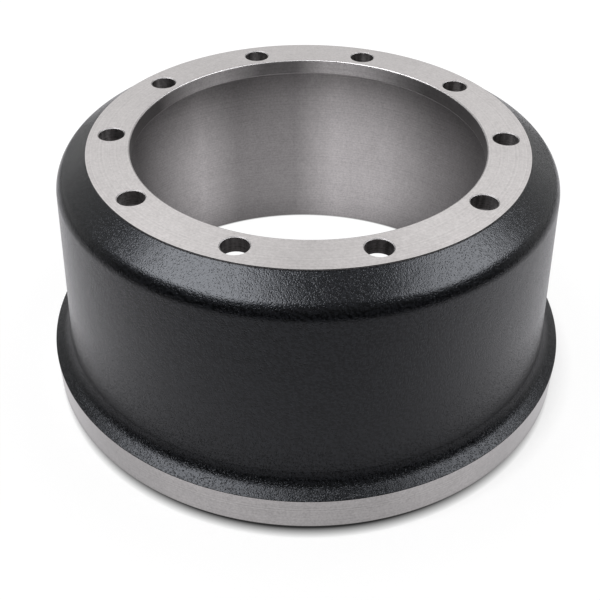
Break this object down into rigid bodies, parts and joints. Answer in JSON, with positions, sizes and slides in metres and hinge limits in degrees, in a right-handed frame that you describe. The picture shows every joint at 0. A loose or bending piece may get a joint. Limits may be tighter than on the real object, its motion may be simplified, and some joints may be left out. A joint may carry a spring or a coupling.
{
  "type": "brake drum",
  "caption": "Cast iron truck brake drum with a turned and drilled wheel flange, rounded shoulder, tapered wall and a stiffening ring round the open rim.",
  "frame": {"origin": "centre of the open rim, on the wheel's axis, in the plane that the drum stands on", "axes": "+Z along the wheel's axis, from the open rim up to the wheel flange; +X passes through the centre of one stud hole"},
  "size_m": [0.4779, 0.478, 0.218],
  "materials": {
    "casting": "satin charcoal paint over the cast skin, bare metal on the turned faces"
  },
  "bodies": {
    "root": {"brake_drum": "casting"}
  },
  "joints": []
}
